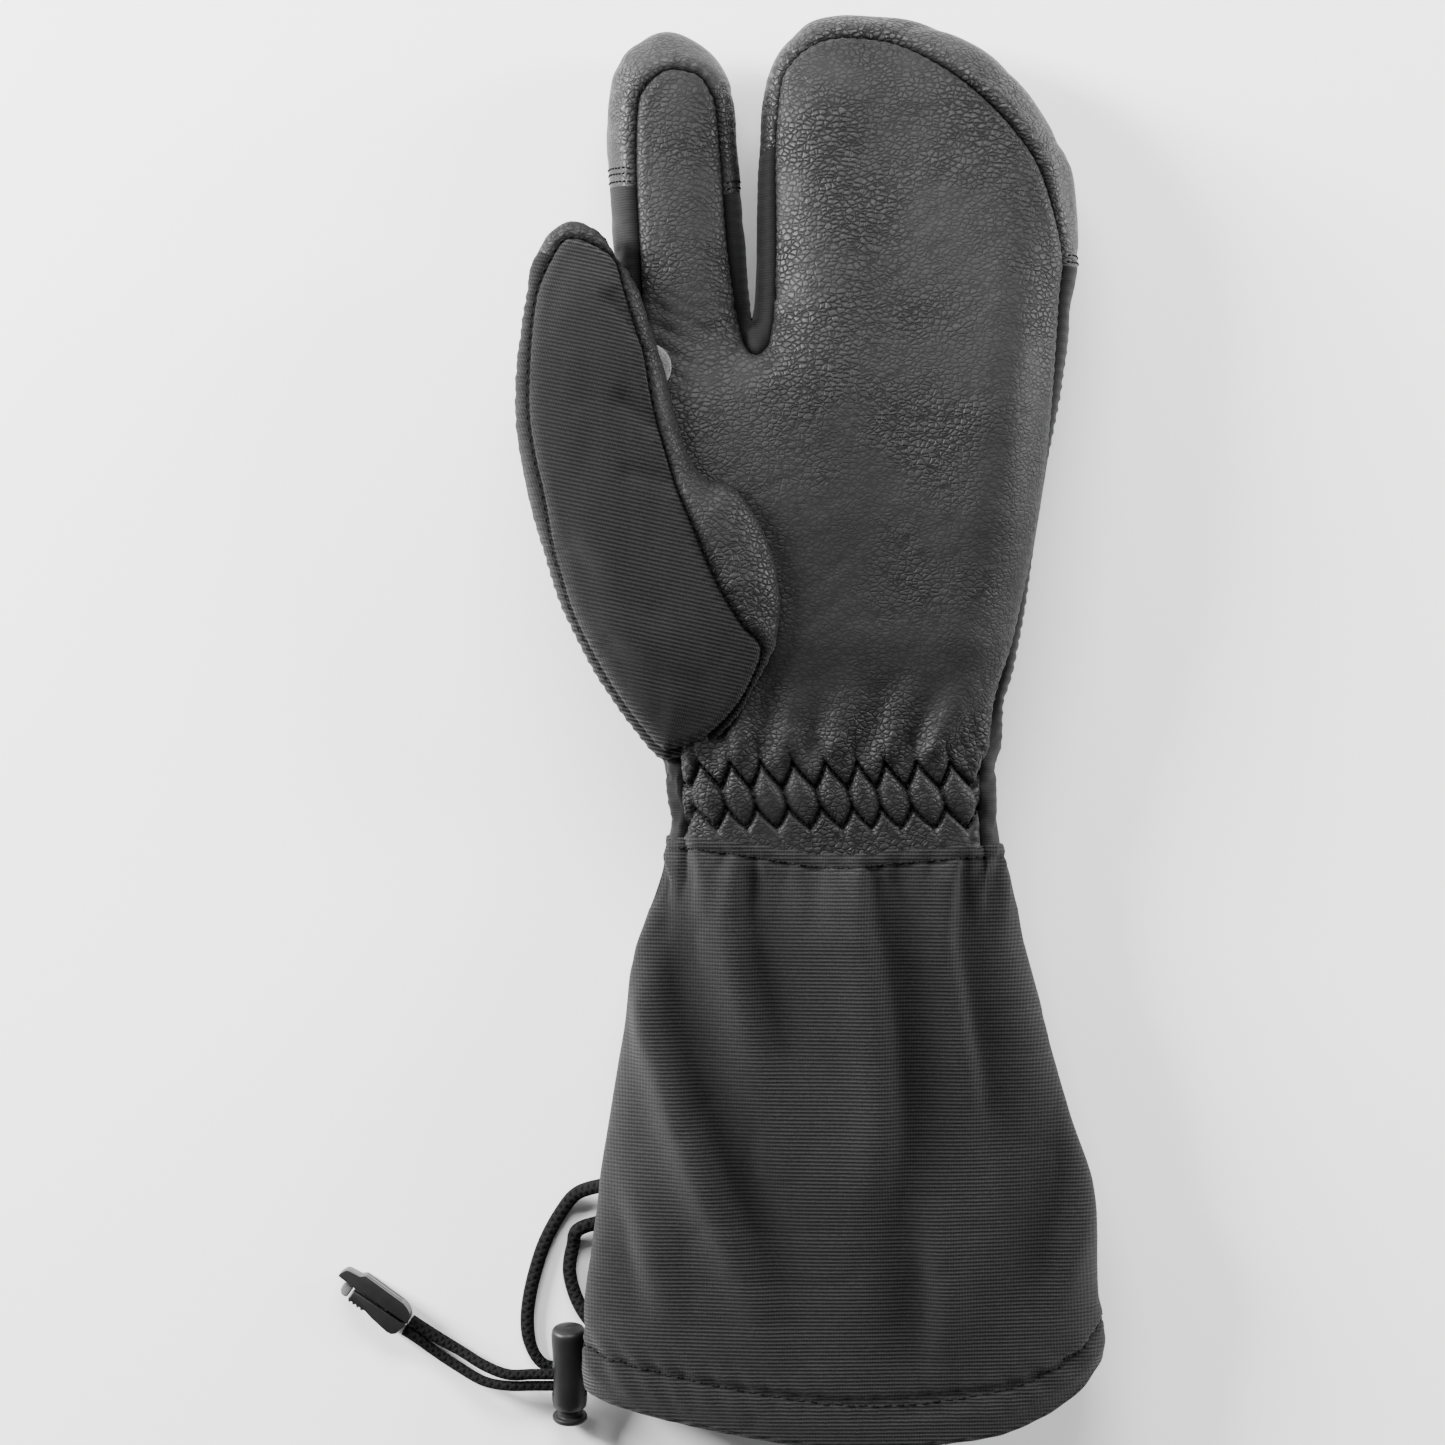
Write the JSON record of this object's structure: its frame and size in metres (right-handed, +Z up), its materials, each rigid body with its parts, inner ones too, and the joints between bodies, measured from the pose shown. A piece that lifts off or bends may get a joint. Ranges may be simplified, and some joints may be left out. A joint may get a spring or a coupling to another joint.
{
  "type": "ski mitten",
  "caption": "Long-gauntlet lobster ski mitten: leather palm, separate thumb and index sleeve, gathered elastic wrist, hem drawcord with a sprung cord lock.",
  "frame": {"origin": "on the surface that the mitten lies on, palm up, under the middle of the palm", "axes": "+X across the palm away from the thumb, +Y from the wrist to the fingertips, +Z up out of the palm"},
  "size_m": [0.2076, 0.3868, 0.0557],
  "materials": {
    "leather": "pebbled goatskin, satin",
    "cap_leather": "pebbled goatskin, a little polished",
    "patch_leather": "suede side out",
    "face_fabric": "fine ribbed weave",
    "softshell": "fine ribbed stretch weave",
    "lining_fabric": "brushed taffeta",
    "fleece": "short pile fleece",
    "wadding": "bonded fibre wadding",
    "elastic": "knitted elastic band",
    "cord": "braided elastic cord",
    "dark_metal": "blackened",
    "lock_plastic": "satin moulded",
    "peg_plastic": "satin moulded",
    "spring_steel": "bright wire"
  },
  "bodies": {
    "hand": {"palm_leather": "leather", "hand_back_shell": "softshell", "fork_gusset": "face_fabric", "hand_palm_wadding": "wadding", "hand_back_wadding": "wadding", "hand_lining": "fleece", "wrist_elastic": "elastic", "index_root_patch": "patch_leather"},
    "index": {"index_palm_face": "leather", "index_tip_cap": "cap_leather", "index_back_shell": "softshell", "index_palm_wadding": "wadding", "index_back_wadding": "wadding", "index_lining": "fleece"},
    "fingers": {"fingers_palm_face": "leather", "fingers_tip_cap": "cap_leather", "fingers_back_shell": "softshell", "fingers_palm_wadding": "wadding", "fingers_back_wadding": "wadding", "fingers_lining": "fleece"},
    "thumb": {"thumb_back_panel": "face_fabric", "thumb_side_panel": "face_fabric", "thumb_leather_face": "leather", "thumb_palm_wadding": "wadding", "thumb_back_wadding": "wadding", "thumb_lining": "fleece"},
    "gauntlet": {"gauntlet_palm_panel": "face_fabric", "gauntlet_back_panel": "face_fabric", "gauntlet_lining": "lining_fabric", "hem_facing": "face_fabric", "hem_fold": "face_fabric", "eyelet_upper": "dark_metal", "eyelet_lower": "dark_metal", "drawcord_hem_run": "cord", "drawcord_strand_upper": "cord", "drawcord_strand_lower": "cord", "cord_end_cover": "lock_plastic", "cord_end_base": "lock_plastic", "cord_end_peg": "peg_plastic"},
    "cord_lock": {"cord_lock_barrel": "lock_plastic", "cord_lock_spring": "spring_steel"},
    "lock_plunger": {"cord_lock_plunger": "lock_plastic"}
  },
  "joints": [
    {"name": "fingers_flex", "type": "hinge", "parent": "hand", "child": "fingers", "pos_m": [0.024, 0.077, 0.0411], "axis": [1, 0, 0], "range_deg": [0, 45]},
    {"name": "index_flex", "type": "hinge", "parent": "hand", "child": "index", "pos_m": [-0.0415, 0.091, 0.0368], "axis": [1, 0, 0], "range_deg": [0, 50]},
    {"name": "thumb_swing", "type": "hinge", "parent": "hand", "child": "thumb", "pos_m": [-0.044, -0.049, 0.036], "axis": [0, 0, 1], "range_deg": [0, 30]},
    {"name": "wrist_flex", "type": "hinge", "parent": "hand", "child": "gauntlet", "pos_m": [0, -0.0728, 0.0215], "axis": [1, 0, 0], "range_deg": [-16, 16]},
    {"name": "cord_lock_slide", "type": "slide", "parent": "gauntlet", "child": "cord_lock", "axis": [-1, 0, 0], "range_m": [0, 0.01]},
    {"name": "plunger_press", "type": "slide", "parent": "cord_lock", "child": "lock_plunger", "axis": [0, 0.9511, 0.309], "range_m": [0, 0.0021], "stiffness_N_per_m": 600, "springref_m": -0.002, "deforming": ["cord_lock_spring"]}
  ]
}
